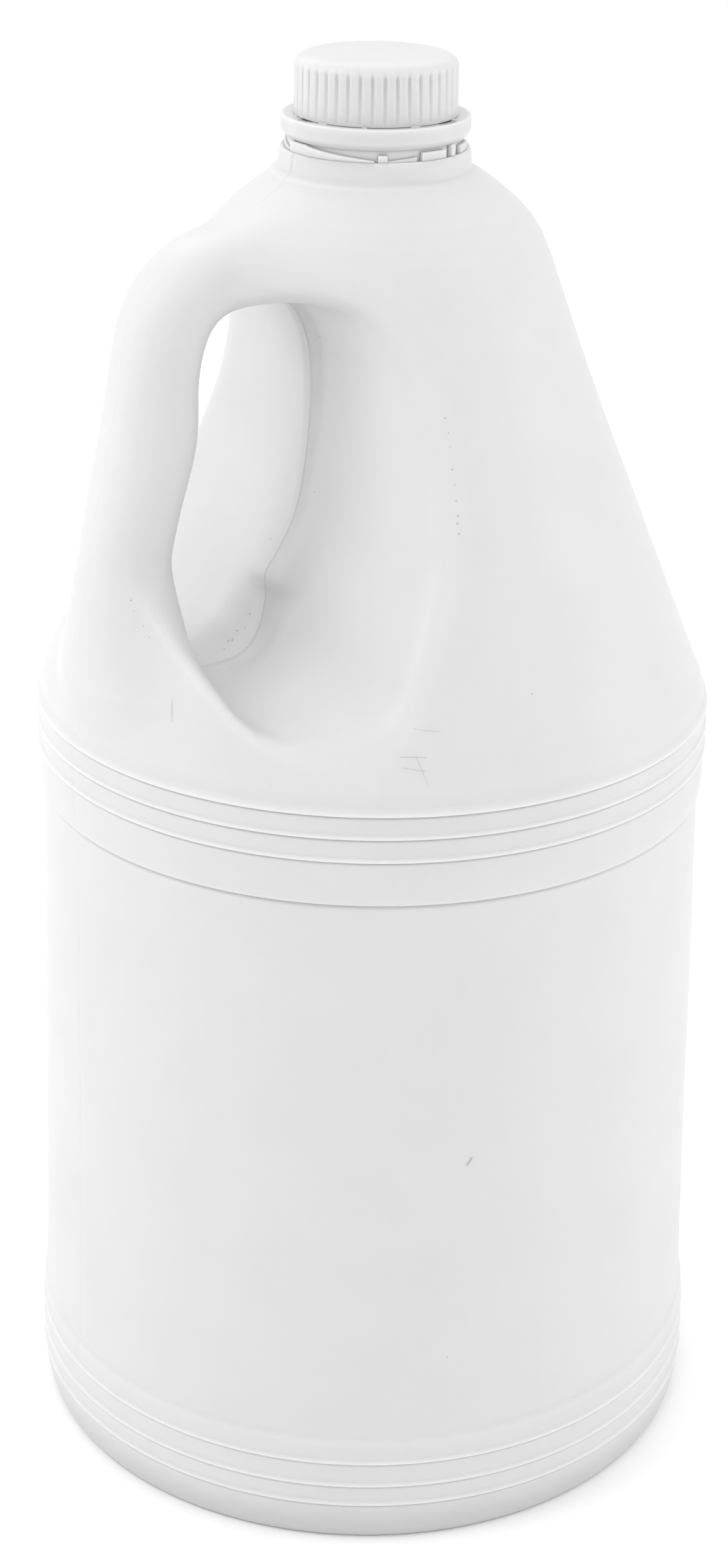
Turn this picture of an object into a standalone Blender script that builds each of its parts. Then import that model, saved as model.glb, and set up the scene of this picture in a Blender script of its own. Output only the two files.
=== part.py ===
"""A five litre blow-moulded jug with a moulded-in side handle and a ribbed screw cap.

Metres, +Z up. The origin is the centre of the foot. The handle points to -X, and the
mould's parting plane is Y = 0, so the jug is the same on both sides of it.
"""

import math

import bmesh
import bpy
import numpy as np
from mathutils import Matrix, Vector

MM = 0.001

# Foot, panel and shoulder bands of the body (mm): height above the table and radius.
FOOT_R = 81.5
FOOT_WIDTH = 14.0
PUSH_UP = 2.5
CORNER_RISE = 10.0
BASE_R = 85.2
BASE_GROOVES_Z = (10.4, 15.6, 21.8)
BASE_GROOVE_DEPTH = 0.3
BASE_BAND_TOP = 27.5
PANEL = ((84.5, 31.6), (83.9, 42.0), (83.6, 66.0), (83.4, 125.0), (83.05, 168.6))
BAND_LOW_Z = 171.4
BAND_R = 84.1
SHOULDER_GROOVES_Z = (179.9, 185.6, 191.2)
SHOULDER_GROOVE_DEPTH = 0.5
GROOVE_HALF = 0.9

# The cone and the dome above the shoulder (mm): height and radius.
SHOULDER = (
    (193.5, 83.6), (196.5, 82.9), (200.0, 81.4), (212.0, 76.7), (229.0, 70.1), (246.0, 63.6),
    (263.0, 56.9), (280.0, 50.7), (296.0, 45.2), (304.0, 42.4), (309.0, 40.3), (313.0, 37.7),
    (316.5, 34.5), (319.5, 31.0), (322.5, 27.1), (325.0, 24.2),
)
# The neck leans towards the handle (mm): height and shift of the axis.
LEAN = ((193.5, 0.0), (322.0, 0.8), (325.0, 1.5))
NECK_LEAN = LEAN[-1][1]

# The pocket behind the handle, in the parting plane (mm): distance towards the handle
# and height, from its ceiling down the wall of the body to its floor.
POCKET = (
    (110.0, 301.0), (60.0, 300.2), (38.0, 299.6), (27.6, 296.4), (21.8, 287.0), (19.6, 276.0),
    (19.6, 264.0), (21.2, 250.0), (23.6, 240.0), (28.0, 231.6), (31.8, 226.0), (31.7, 219.5),
    (33.6, 211.8), (38.2, 206.6), (46.0, 205.0), (62.0, 204.4), (72.0, 206.0), (110.0, 214.0),
)
# The same wall clear of the parting plane, where it runs straight past the narrow part.
OPEN_POCKET = (
    (110.0, 301.0), (60.0, 300.2), (38.0, 299.6), (27.6, 296.4), (21.8, 287.0), (19.6, 276.0),
    (19.6, 264.0), (21.2, 250.0), (23.9, 239.5), (27.6, 230.5), (31.6, 221.5), (35.8, 214.0),
    (42.0, 208.6), (50.0, 205.8), (62.0, 204.4), (72.0, 206.0), (110.0, 214.0),
)
NEAR_SEAM = 3.0
CLEAR_OF_SEAM = 16.0
POCKET_DRAFT = 0.045
# Rounding of the pocket's lip (mm) by height, and its share by distance towards the handle.
LIP_HEIGHTS = (199.0, 207.0, 216.0, 240.0, 262.0)
LIP_ROUNDS = (8.0, 5.5, 4.0, 6.0, 10.0)
TIGHT_REACH = (46.0, 62.0)
TIGHT_SHARE = (1.0, 0.5)
# Steepness of the cone's distance, which is measured level and not square to its wall.
CONE_SLOPE = 0.92

# The handle's centre line in the parting plane (mm): distance from the axis, height,
# half its thickness and half its width.
HANDLE = (
    (12.0, 307.0, 8.6, 17.0), (29.0, 307.2, 9.2, 15.5), (42.0, 305.6, 9.6, 14.2),
    (50.6, 302.6, 10.0, 13.2), (56.6, 297.2, 10.2, 12.8), (60.1, 290.0, 10.2, 12.6),
    (62.0, 280.5, 10.1, 12.8), (63.6, 265.8, 11.0, 13.6), (67.6, 249.0, 10.6, 13.0),
    (70.2, 235.3, 10.6, 12.8), (71.0, 217.5, 11.0, 14.0), (66.5, 196.0, 10.8, 14.5),
)
SECTION_POWER = 2.6
SECTION_SHARE = 0.925
# The web that flares from the handle's root round each pocket (mm): distance towards the
# handle, distance from the parting plane and height of its middle.
WEB = ((71.8, 4.9, 221.3), (71.8, 16.6, 216.5), (70.4, 27.5, 210.6), (69.0, 37.6, 204.9),
       (66.6, 46.3, 199.6), (61.5, 55.7, 195.4))
WEB_RADIUS = 8.0
WEB_BLEND = 6.0
BLEND_HEIGHTS = (193.5, 208.0, 235.0, 285.0)
BLEND_SIZES = (3.0, 15.0, 13.0, 9.0)

# The collar, the ratchet ring with its lugs, and the neck under the cap (mm).
COLLAR_R = 23.15
COLLAR_FOOT_R = 23.45
COLLAR_TOP = 330.2
RATCHET_R = 21.2
RATCHET_TOP = 334.0
NECK_R = 18.2
NECK_TOP = 348.4
LUG_COUNT = 8
LUG_SIZE = (1.6, 3.2, 2.6)
LUG_REACH = 21.0
LUG_MIDDLE = 330.9

# The cap and its tamper band (mm).
CAP_R = 19.8
CAP_LOW = 338.0
CAP_TOP = 352.5
CAP_FLAT_R = 15.9
CAP_RIM_DROP = 2.7
CAP_BORE_R = 18.6
CAP_ROOF = 2.6
RIB_COUNT = 42
RIB_DEPTH = 0.65
RIB_POINTS = 3
RIB_LOW = 338.4
RIB_RUN_OUT = 0.5
BAND_OUTER_R = 23.0
BAND_WALL = 1.2
BAND_LOW = 332.9
BAND_TOP = 338.0
BAND_CHAMFER = (1.2, 1.4)
LEDGE_R = 19.3
LEDGE_TOP = 337.8
LEDGE_THICK = 1.0
BRIDGE_COUNT = 8
BAND_COLUMNS = 56
BRIDGE_SIZE = (0.9, 2.0, 1.2)
BRIDGE_REACH = 19.4

# The form's turned profile with its hidden ends, inside the body and the collar (mm).
BODY_TOP = 193.1
COLLAR_LOW = 321.0
BLANK_LOW = 187.0
FORM_PROFILE = ((BLANK_LOW, 76.0), (192.4, 83.2)) + SHOULDER + ((327.0, 22.0), (328.5, 20.0))
FORM_MARGIN = 0.6
POCKET_REACH = 95.0

# The mesh: columns round the turned parts, sides of a tube, size of the shoulder's
# voxels (mm) and triangles left in the shoulder.
COLUMNS = 72
NECK_COLUMNS = 64
TUBE_SIDES = 24
VOXEL = 2.0
SHOULDER_TRIANGLES = 4900


def clear_scene():
    """Remove whatever the file holds before the model is made."""
    for thing in list(bpy.data.objects):
        bpy.data.objects.remove(thing, do_unlink=True)


def plastic(name, colour, roughness):
    """A Principled material for one moulded plastic."""
    material = bpy.data.materials.new(name)
    material.use_nodes = True
    shader = material.node_tree.nodes["Principled BSDF"]
    shader.inputs["Base Color"].default_value = (*colour, 1.0)
    shader.inputs["Roughness"].default_value = roughness
    shader.inputs["Metallic"].default_value = 0.0
    return material


def finish_object(name, mesh_data, material, sharp_angle=40.0):
    """Link a finished bmesh as an object in metres, shaded smooth but for its edges."""
    bmesh.ops.recalc_face_normals(mesh_data, faces=mesh_data.faces)
    bmesh.ops.scale(mesh_data, vec=(MM, MM, MM), verts=mesh_data.verts)
    mesh = bpy.data.meshes.new(name)
    mesh_data.to_mesh(mesh)
    mesh_data.free()
    mesh.materials.append(material)
    mesh.shade_smooth()
    mesh.set_sharp_from_angle(angle=math.radians(sharp_angle))
    thing = bpy.data.objects.new(name, mesh)
    bpy.context.collection.objects.link(thing)
    return thing


# ---- the jug's form: signed distances in mm, below zero inside the plastic ----


def smooth_curve(points, steps):
    """Points of a Catmull-Rom curve through rows of numbers, steps to each span."""
    rows = np.array(points, float)
    padded = np.vstack([2 * rows[0] - rows[1], rows, 2 * rows[-1] - rows[-2]])
    out = []
    for i in range(len(rows) - 1):
        p0, p1, p2, p3 = padded[i:i + 4]
        for t in np.arange(steps) / steps:
            out.append(0.5 * (2 * p1 + (p2 - p0) * t + (2 * p0 - 5 * p1 + 4 * p2 - p3) * t ** 2
                              + (3 * p1 - p0 - 3 * p2 + p3) * t ** 3))
    return np.array(out + [rows[-1]])


POCKET_CURVE = smooth_curve(POCKET, 5)
OPEN_CURVE = smooth_curve(OPEN_POCKET, 5)
HANDLE_CURVE = smooth_curve(HANDLE, 5)


def nearest_on(curve, reach, height):
    """Distance from each point to a curve, the side it lies on, and where along the curve."""
    start, step = curve[:-1, :2], np.diff(curve[:, :2], axis=0)
    offset = np.stack([reach, height], -1)[:, None, :] - start[None]
    along = np.clip((offset * step).sum(-1) / (step ** 2).sum(-1), 0.0, 1.0)
    gap = offset - along[..., None] * step
    distance = np.hypot(gap[..., 0], gap[..., 1])
    pick = distance.argmin(1)
    rows = np.arange(len(reach))
    cross = step[pick, 0] * gap[rows, pick, 1] - step[pick, 1] * gap[rows, pick, 0]
    return distance[rows, pick], np.sign(cross), pick + along[rows, pick]


def smooth_min(a, b, k):
    """The smaller of two distances, blended where they differ by less than k."""
    h = np.clip(0.5 + 0.5 * (b - a) / k, 0.0, 1.0)
    return b + (a - b) * h - k * h * (1.0 - h)


def shoulder_radius(height):
    """Radius of the cone and dome at a height."""
    heights, radii = np.array(SHOULDER).T
    return np.interp(height, heights, radii)


def lean(height):
    """How far the shoulder's axis has shifted towards the handle at a height."""
    heights, shifts = np.array(LEAN).T
    return np.interp(height, heights, shifts)


def pocket_distance(points):
    """Distance to the pocket's wall, above zero on the body's side of it."""
    off = np.abs(points[:, 1])
    reach = -points[:, 0] + POCKET_DRAFT * off
    distance, side, _ = nearest_on(POCKET_CURVE, reach, points[:, 2])
    clear, clear_side, _ = nearest_on(OPEN_CURVE, reach, points[:, 2])
    mix = np.clip((off - NEAR_SEAM) / (CLEAR_OF_SEAM - NEAR_SEAM), 0.0, 1.0)
    mix = mix * mix * (3.0 - 2.0 * mix)
    return -(distance * side * (1.0 - mix) + clear * clear_side * mix)


def handle_distance(points):
    """Distance to the handle's tube, which is oval and swells along its length."""
    distance, _, along = nearest_on(HANDLE_CURVE, -points[:, 0], points[:, 2])
    stations = np.arange(len(HANDLE_CURVE))
    thick = np.interp(along, stations, HANDLE_CURVE[:, 2]) * SECTION_SHARE
    wide = np.interp(along, stations, HANDLE_CURVE[:, 3]) * SECTION_SHARE
    level = (distance / thick) ** SECTION_POWER + (np.abs(points[:, 1]) / wide) ** SECTION_POWER
    return (level ** (1.0 / SECTION_POWER) - 1.0) * thick


def web_distance(points):
    """Distance to the round web beside the handle's root, the same on both sides."""
    place = np.stack([-points[:, 0], np.abs(points[:, 1]), points[:, 2]], -1)
    start, step = np.array(WEB[:-1]), np.diff(np.array(WEB), axis=0)
    offset = place[:, None, :] - start[None]
    along = np.clip((offset * step).sum(-1) / (step ** 2).sum(-1), 0.0, 1.0)
    return np.linalg.norm(offset - along[..., None] * step, axis=-1).min(1) - WEB_RADIUS


def body_distance(points):
    """Distance to the shoulder with the pocket cut out of both sides, less the webs."""
    radius = np.hypot(points[:, 0] + lean(points[:, 2]), points[:, 1])
    cone = (radius - shoulder_radius(points[:, 2])) * CONE_SLOPE
    kept = smooth_min(-pocket_distance(points), web_distance(points), WEB_BLEND)
    lip = np.interp(points[:, 2], LIP_HEIGHTS, LIP_ROUNDS)
    lip *= np.interp(-points[:, 0], TIGHT_REACH, TIGHT_SHARE)
    return -smooth_min(-cone, -kept, lip)


def jug_distance(points):
    """Distance to the shoulder and handle in one."""
    blend = np.interp(points[:, 2], BLEND_HEIGHTS, BLEND_SIZES)
    return smooth_min(body_distance(points), handle_distance(points), blend)


def settle(points, rounds=6):
    """Move points onto the jug's form along its slope."""
    points = points.copy()
    step = 0.05
    for _ in range(rounds):
        value = jug_distance(points)
        slope = np.stack([jug_distance(points + step * axis) - value for axis in np.eye(3)], -1) / step
        size = np.maximum((slope ** 2).sum(-1), 0.05)
        points -= np.clip(value / size, -6.0, 6.0)[:, None] * slope
    return points


# ---- the jug's mesh ----


def object_of(name, mesh_data):
    """Link a bmesh as a working object, still in millimetres."""
    bmesh.ops.recalc_face_normals(mesh_data, faces=mesh_data.faces)
    mesh = bpy.data.meshes.new(name)
    mesh_data.to_mesh(mesh)
    mesh_data.free()
    thing = bpy.data.objects.new(name, mesh)
    bpy.context.collection.objects.link(thing)
    return thing


def applied(thing, kind, **settings):
    """Apply one modifier to an object."""
    modifier = thing.modifiers.new(kind.lower(), kind)
    for key, value in settings.items():
        setattr(modifier, key, value)
    bpy.context.view_layer.update()
    done = bpy.data.meshes.new_from_object(thing.evaluated_get(bpy.context.evaluated_depsgraph_get()))
    thing.modifiers.clear()
    thing.data = done


def combine(thing, operation, tool):
    """Join a second object to a first, or cut it out, with an exact Boolean."""
    applied(thing, "BOOLEAN", operation=operation, solver="EXACT", use_self=True, object=tool)
    bpy.data.objects.remove(tool, do_unlink=True)


def pocket_block():
    """A block in the outline of the pocket, through the whole shoulder."""
    block = bmesh.new()
    corners = [block.verts.new((-reach, -POCKET_REACH, height)) for reach, height in POCKET_CURVE[:, :2]]
    face = block.faces.new(corners)
    made = bmesh.ops.extrude_face_region(block, geom=[face])["geom"]
    moved = [item for item in made if isinstance(item, bmesh.types.BMVert)]
    bmesh.ops.translate(block, verts=moved, vec=(0.0, 2 * POCKET_REACH, 0.0))
    return object_of("pocket", block)


def add_tube(mesh_data, rows):
    """A closed oval tube: rows of centre, half thickness along the bend and half width."""
    rings = []
    for index, (centre, thick, wide) in enumerate(rows):
        before, after = rows[max(index - 1, 0)][0], rows[min(index + 1, len(rows) - 1)][0]
        along = Vector(after) - Vector(before)
        out = Vector((-along.z, 0.0, along.x)).normalized()
        across = along.cross(out).normalized()
        ring = []
        for step in range(TUBE_SIDES):
            turn = step * math.tau / TUBE_SIDES
            place = Vector(centre) + out * thick * math.cos(turn) + across * wide * math.sin(turn)
            ring.append(mesh_data.verts.new(place))
        rings.append(ring)
    for low, high in zip(rings, rings[1:]):
        for step in range(TUBE_SIDES):
            after = (step + 1) % TUBE_SIDES
            mesh_data.faces.new((low[step], low[after], high[after], high[step]))
    for ring in (rings[0], rings[-1]):
        mesh_data.faces.new(ring)


def shoulder_blank():
    """The shoulder as plain shapes: a turned cone less the pocket, with tubes laid over it."""
    blank = bmesh.new()
    outline = [(0.0, BLANK_LOW)] + [(radius, height) for height, radius in FORM_PROFILE]
    turn_outline(blank, outline + [(0.0, FORM_PROFILE[-1][0])])
    bmesh.ops.remove_doubles(blank, verts=blank.verts, dist=0.001)
    for vertex in blank.verts:
        vertex.co.x -= float(lean(vertex.co.z))
    thing = object_of("shoulder", blank)
    combine(thing, "DIFFERENCE", pocket_block())
    whole = bmesh.new()
    whole.from_mesh(thing.data)
    add_tube(whole, [((-reach, 0.0, height), thick, wide) for reach, height, thick, wide in HANDLE_CURVE])
    for side in (-1.0, 1.0):
        rows = [((-reach, side * off, height), WEB_RADIUS, WEB_RADIUS) for reach, off, height in WEB]
        add_tube(whole, rows)
    bmesh.ops.recalc_face_normals(whole, faces=whole.faces)
    whole.to_mesh(thing.data)
    whole.free()
    return thing


def onto_form(thing, rounds):
    """Even out an object's mesh and move it onto the jug's form, in turns."""
    mesh_data = bmesh.new()
    mesh_data.from_mesh(thing.data)
    low, high = SHOULDER[0][0] - FORM_MARGIN, SHOULDER[-1][0] + FORM_MARGIN
    free = [v for v in mesh_data.verts if low < v.co.z < high]
    for turn in range(rounds):
        if turn:
            bmesh.ops.smooth_vert(mesh_data, verts=free, factor=0.5, use_axis_x=True,
                                  use_axis_y=True, use_axis_z=True)
        places = settle(np.array([v.co[:] for v in free]), 3)
        for vertex, place in zip(free, places):
            vertex.co = place
    mesh_data.to_mesh(thing.data)
    mesh_data.free()


def groove(height, radius, depth):
    """The outline of one narrow groove, from below."""
    return [(radius, height - GROOVE_HALF), (radius - depth, height), (radius, height + GROOVE_HALF)]


def body_outline():
    """The turned outline of the body, from the centre of the foot up to the shoulder."""
    inner_foot = FOOT_R - FOOT_WIDTH
    outline = [(0.0, PUSH_UP), (inner_foot - 4.0, PUSH_UP), (inner_foot, 0.0), (FOOT_R, 0.0)]
    for step in range(1, 5):
        angle = step * math.pi / 10
        outline.append((FOOT_R + (BASE_R - FOOT_R) * math.sin(angle), CORNER_RISE * (1 - math.cos(angle))))
    for height in BASE_GROOVES_Z:
        outline += groove(height, BASE_R, BASE_GROOVE_DEPTH)
    outline += [(BASE_R, BASE_BAND_TOP), *PANEL, (BAND_R, BAND_LOW_Z)]
    for height in SHOULDER_GROOVES_Z:
        outline += groove(height, BAND_R, SHOULDER_GROOVE_DEPTH)
    return outline + [(BAND_R - 0.2, BODY_TOP), (0.0, BODY_TOP)]


def neck_outline():
    """The turned outline above the dome: collar, ratchet ring and neck."""
    return [(0.0, COLLAR_LOW), (COLLAR_FOOT_R, COLLAR_LOW), (COLLAR_FOOT_R, SHOULDER[-1][0] + 0.6),
            (COLLAR_R, COLLAR_TOP - 0.4), (COLLAR_R - 0.4, COLLAR_TOP), (RATCHET_R, COLLAR_TOP),
            (RATCHET_R, RATCHET_TOP), (NECK_R, RATCHET_TOP), (NECK_R, NECK_TOP), (0.0, NECK_TOP)]


def turn_outline(mesh_data, outline, shift=0.0, columns=COLUMNS):
    """Spin an outline once round an upright axis; return the new vertices."""
    before = set(mesh_data.verts)
    verts = [mesh_data.verts.new((radius - shift, 0.0, height)) for radius, height in outline]
    edges = [mesh_data.edges.new(pair) for pair in zip(verts, verts[1:])]
    bmesh.ops.spin(mesh_data, geom=verts + edges, cent=(-shift, 0.0, 0.0), axis=(0.0, 0.0, 1.0),
                   angle=math.tau, steps=columns, use_merge=True)
    return [v for v in mesh_data.verts if v not in before]


def add_block(mesh_data, size, place, turn, shift):
    """A small box set on a radius: size is along the radius, across it and upright."""
    matrix = Matrix.Translation((-shift, 0.0, 0.0)) @ Matrix.Rotation(turn, 4, "Z")
    matrix = matrix @ Matrix.Translation(place) @ Matrix.Diagonal((*size, 1.0))
    bmesh.ops.create_cube(mesh_data, size=1.0, matrix=matrix)


def cut_ring(thing, height, radius, shift):
    """Cut the mesh level and set the cut's outer corners on a true circle."""
    mesh_data = bmesh.new()
    mesh_data.from_mesh(thing.data)
    cut = bmesh.ops.bisect_plane(mesh_data, geom=mesh_data.verts[:] + mesh_data.edges[:] + mesh_data.faces[:],
                                 plane_co=(0.0, 0.0, height), plane_no=(0.0, 0.0, 1.0))["geom_cut"]
    for vertex in cut:
        if isinstance(vertex, bmesh.types.BMVert):
            place = Vector((vertex.co.x + shift, vertex.co.y)).normalized() * radius
            vertex.co = (place.x - shift, place.y, height)
    mesh_data.to_mesh(thing.data)
    mesh_data.free()


def make_jug(material):
    """The jug: body, shoulder, handle, collar and neck in one piece."""
    jug = shoulder_blank()
    applied(jug, "REMESH", mode="VOXEL", voxel_size=VOXEL, use_smooth_shade=True)
    onto_form(jug, 12)
    applied(jug, "DECIMATE", ratio=SHOULDER_TRIANGLES / (2 * len(jug.data.polygons)))
    onto_form(jug, 1)
    cut_ring(jug, BODY_TOP, BAND_R - 0.4, 0.0)
    turned = bmesh.new()
    turn_outline(turned, body_outline())
    bmesh.ops.remove_doubles(turned, verts=turned.verts, dist=0.001)
    combine(jug, "UNION", object_of("body", turned))
    neck = bmesh.new()
    turn_outline(neck, neck_outline(), NECK_LEAN, NECK_COLUMNS)
    bmesh.ops.remove_doubles(neck, verts=neck.verts, dist=0.001)
    bmesh.ops.recalc_face_normals(neck, faces=neck.faces)
    middle = (LUG_REACH, 0.0, LUG_MIDDLE)
    for index in range(LUG_COUNT):
        add_block(neck, LUG_SIZE, middle, (index + 0.5) * math.tau / LUG_COUNT, NECK_LEAN)
    combine(jug, "UNION", object_of("neck", neck))
    whole = bmesh.new()
    whole.from_mesh(jug.data)
    bpy.data.objects.remove(jug, do_unlink=True)
    bmesh.ops.remove_doubles(whole, verts=whole.verts, dist=0.02)
    finish_object("jug", whole, material)


def ribbed_ring(mesh_data, radius, height, depth):
    """A ring of vertices that steps in and out once for each rib."""
    ring = []
    for index in range(RIB_COUNT * RIB_POINTS):
        turn = index * math.tau / (RIB_COUNT * RIB_POINTS)
        reach = radius - (depth if index % RIB_POINTS == 0 else 0.0)
        ring.append(mesh_data.verts.new((reach * math.cos(turn) - NECK_LEAN, reach * math.sin(turn), height)))
    for index, vertex in enumerate(ring):
        mesh_data.edges.new((vertex, ring[(index + 1) % len(ring)]))
    return ring


def make_cap(material):
    """The screw cap: ribbed skirt and rounded rim over a bore, with its tamper band."""
    cap = bmesh.new()
    rings = []
    rim = [(CAP_FLAT_R + (CAP_R - CAP_FLAT_R) * math.sin(a), CAP_TOP - CAP_RIM_DROP * (1 - math.cos(a)))
           for a in (0.0, math.pi / 4)]
    levels = [(CAP_BORE_R, CAP_LOW, 0.0), (CAP_R, CAP_LOW, 0.0), (CAP_R, RIB_LOW, 0.0),
              (CAP_R, RIB_LOW + RIB_RUN_OUT, RIB_DEPTH),
              (CAP_R, CAP_TOP - CAP_RIM_DROP - RIB_RUN_OUT, RIB_DEPTH),
              (CAP_R, CAP_TOP - CAP_RIM_DROP, 0.0)]
    levels += [(radius, height, 0.0) for radius, height in reversed(rim)]
    levels.insert(0, (CAP_BORE_R, CAP_TOP - CAP_ROOF, 0.0))
    for radius, height, depth in levels:
        rings.append(ribbed_ring(cap, radius, height, depth))
    for low, high in zip(rings, rings[1:]):
        count = len(low)
        pairs = [cap.edges.get((ring[i], ring[(i + 1) % count])) for ring in (low, high) for i in range(count)]
        bmesh.ops.bridge_loops(cap, edges=pairs)
    for ring in (rings[0], rings[-1]):
        bmesh.ops.contextual_create(cap, geom=ring)
    thing = object_of("cap blank", cap)
    band = bmesh.new()
    inner = BAND_OUTER_R - BAND_WALL
    cut_in, cut_up = BAND_CHAMFER
    outline = [(inner, BAND_LOW), (BAND_OUTER_R - cut_in, BAND_LOW), (BAND_OUTER_R, BAND_LOW + cut_up),
               (BAND_OUTER_R, BAND_TOP), (inner, BAND_TOP), (inner, LEDGE_TOP), (LEDGE_R, LEDGE_TOP),
               (LEDGE_R, LEDGE_TOP - LEDGE_THICK), (inner, LEDGE_TOP - LEDGE_THICK), (inner, BAND_LOW)]
    turn_outline(band, outline, NECK_LEAN, BAND_COLUMNS)
    bmesh.ops.remove_doubles(band, verts=band.verts, dist=0.001)
    bmesh.ops.recalc_face_normals(band, faces=band.faces)
    for index in range(BRIDGE_COUNT):
        middle = (BRIDGE_REACH, 0.0, (CAP_LOW + LEDGE_TOP) / 2)
        add_block(band, BRIDGE_SIZE, middle, index * math.tau / BRIDGE_COUNT, NECK_LEAN)
    combine(thing, "UNION", object_of("band", band))
    whole = bmesh.new()
    whole.from_mesh(thing.data)
    bpy.data.objects.remove(thing, do_unlink=True)
    finish_object("cap", whole, material, 30.0)


def main():
    """Make the jug and its cap."""
    clear_scene()
    make_jug(plastic("white jug plastic", (0.80, 0.80, 0.79), 0.42))
    make_cap(plastic("white cap plastic", (0.78, 0.78, 0.77), 0.35))


main()
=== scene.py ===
"""Looks of a five litre blow-moulded jug: body, shoulder, handle, neck, screw cap and studio.

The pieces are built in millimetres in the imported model's frame and scaled to metres when
they are finished. The handle points to -X and the mould's parting plane is Y = 0.
"""

import logging
import math
from dataclasses import dataclass, field
from enum import Enum

import bmesh
import bpy
import numpy as np
from mathutils import Matrix, Vector
from mathutils.bvhtree import BVHTree

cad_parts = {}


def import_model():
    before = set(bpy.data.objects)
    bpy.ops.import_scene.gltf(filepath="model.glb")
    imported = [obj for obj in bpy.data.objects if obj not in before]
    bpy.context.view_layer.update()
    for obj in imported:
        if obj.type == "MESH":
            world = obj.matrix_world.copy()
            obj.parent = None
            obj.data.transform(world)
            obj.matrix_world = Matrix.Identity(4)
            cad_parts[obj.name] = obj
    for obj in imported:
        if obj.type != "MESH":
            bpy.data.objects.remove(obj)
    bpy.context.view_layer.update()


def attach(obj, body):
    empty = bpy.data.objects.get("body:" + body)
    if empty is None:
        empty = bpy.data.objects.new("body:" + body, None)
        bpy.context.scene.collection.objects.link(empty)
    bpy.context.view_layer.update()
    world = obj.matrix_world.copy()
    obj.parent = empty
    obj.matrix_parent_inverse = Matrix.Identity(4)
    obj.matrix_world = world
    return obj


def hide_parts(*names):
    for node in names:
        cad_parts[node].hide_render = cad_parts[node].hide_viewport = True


LOG = logging.getLogger("jug")
MM = 0.001
UP = (0.0, 0.0, 1.0)
NEAR_SIDE = math.radians(-122.0)  # the way from the jug's axis to the camera
SAME_PLACE = 1e-4  # corners nearer to each other than this, in millimetres, are merged
SAME_LEVEL = 1e-3  # corners nearer than this to a cut, in millimetres, belong to it
ROUNDED_SHARE = 0.48  # the part of an outline's side that one rounding may take
WHOLE_TURN = 360.0
Span = tuple[float, float]
Rows = tuple[tuple[float, ...], ...]
Outline = list[tuple[float, float]]
Corners = list[tuple[float, float, float]]


class Side(Enum):
    """The two halves of the mould, by the sign of Y."""

    NEAR = -1.0
    FAR = 1.0


# ---------------------------------------------------------------- mesh helpers


def smooth_curve(points: Rows, steps: int) -> np.ndarray:
    """Pass a Catmull-Rom curve through rows of numbers.

    Args:
        points: the rows the curve passes through.
        steps: how many points it gets for each span.

    Returns:
        The points of the curve, one row each.
    """
    rows = np.array(points, float)
    padded = np.vstack([2 * rows[0] - rows[1], rows, 2 * rows[-1] - rows[-2]])
    out = []
    for i in range(len(rows) - 1):
        p0, p1, p2, p3 = padded[i:i + 4]
        for t in np.arange(steps) / steps:
            out.append(0.5 * (2 * p1 + (p2 - p0) * t + (2 * p0 - 5 * p1 + 4 * p2 - p3) * t ** 2
                              + (3 * p1 - p0 - 3 * p2 + p3) * t ** 3))
    return np.array(out + [rows[-1]])


def smooth_min(first: np.ndarray, second: np.ndarray, width: np.ndarray | float) -> np.ndarray:
    """Take the smaller of two distances, blended where they differ by less than a width."""
    share = np.clip(0.5 + 0.5 * (second - first) / width, 0.0, 1.0)
    return second + (first - second) * share - width * share * (1.0 - share)


def turned(outline: Outline, columns: int, shift: float = 0.0) -> bmesh.types.BMesh:
    """Spin an outline once round an upright axis and close it where it meets the axis.

    Args:
        outline: radius and height of each corner, from below.
        columns: how many columns the ring gets.
        shift: how far the axis lies towards the handle.

    Returns:
        The turned mesh.
    """
    mesh = bmesh.new()
    verts = [mesh.verts.new((radius - shift, 0.0, height)) for radius, height in outline]
    edges = [mesh.edges.new(pair) for pair in zip(verts, verts[1:])]
    bmesh.ops.spin(mesh, geom=verts + edges, cent=(-shift, 0.0, 0.0), axis=UP,
                   angle=math.tau, steps=columns, use_merge=True)
    bmesh.ops.remove_doubles(mesh, verts=mesh.verts, dist=SAME_PLACE)
    return mesh


def ring_of(sections: list[Outline], shift: float) -> bmesh.types.BMesh:
    """Join closed outlines, each turned on from the last, into one ring.

    Args:
        sections: radius and height of each corner of each outline, going round from the
            side the camera looks from.
        shift: how far the axis lies towards the handle.

    Returns:
        The closed ring's mesh.
    """
    mesh = bmesh.new()
    rings = []
    for index, section in enumerate(sections):
        turn = NEAR_SIDE + math.tau * index / len(sections)
        across, along = math.cos(turn), math.sin(turn)
        rings.append([mesh.verts.new((radius * across - shift, radius * along, height))
                      for radius, height in section])
    for here, after in zip(rings, rings[1:] + rings[:1]):
        for i in range(len(here)):
            j = (i + 1) % len(here)
            mesh.faces.new((here[i], here[j], after[j], after[i]))
    return mesh


def add_mesh(mesh: bmesh.types.BMesh, other: bmesh.types.BMesh) -> None:
    """Add one mesh to another.

    Args:
        mesh: the mesh that grows.
        other: the mesh that is added, which is freed.
    """
    data = bpy.data.meshes.new("part")
    other.to_mesh(data)
    other.free()
    mesh.from_mesh(data)
    bpy.data.meshes.remove(data)


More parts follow.
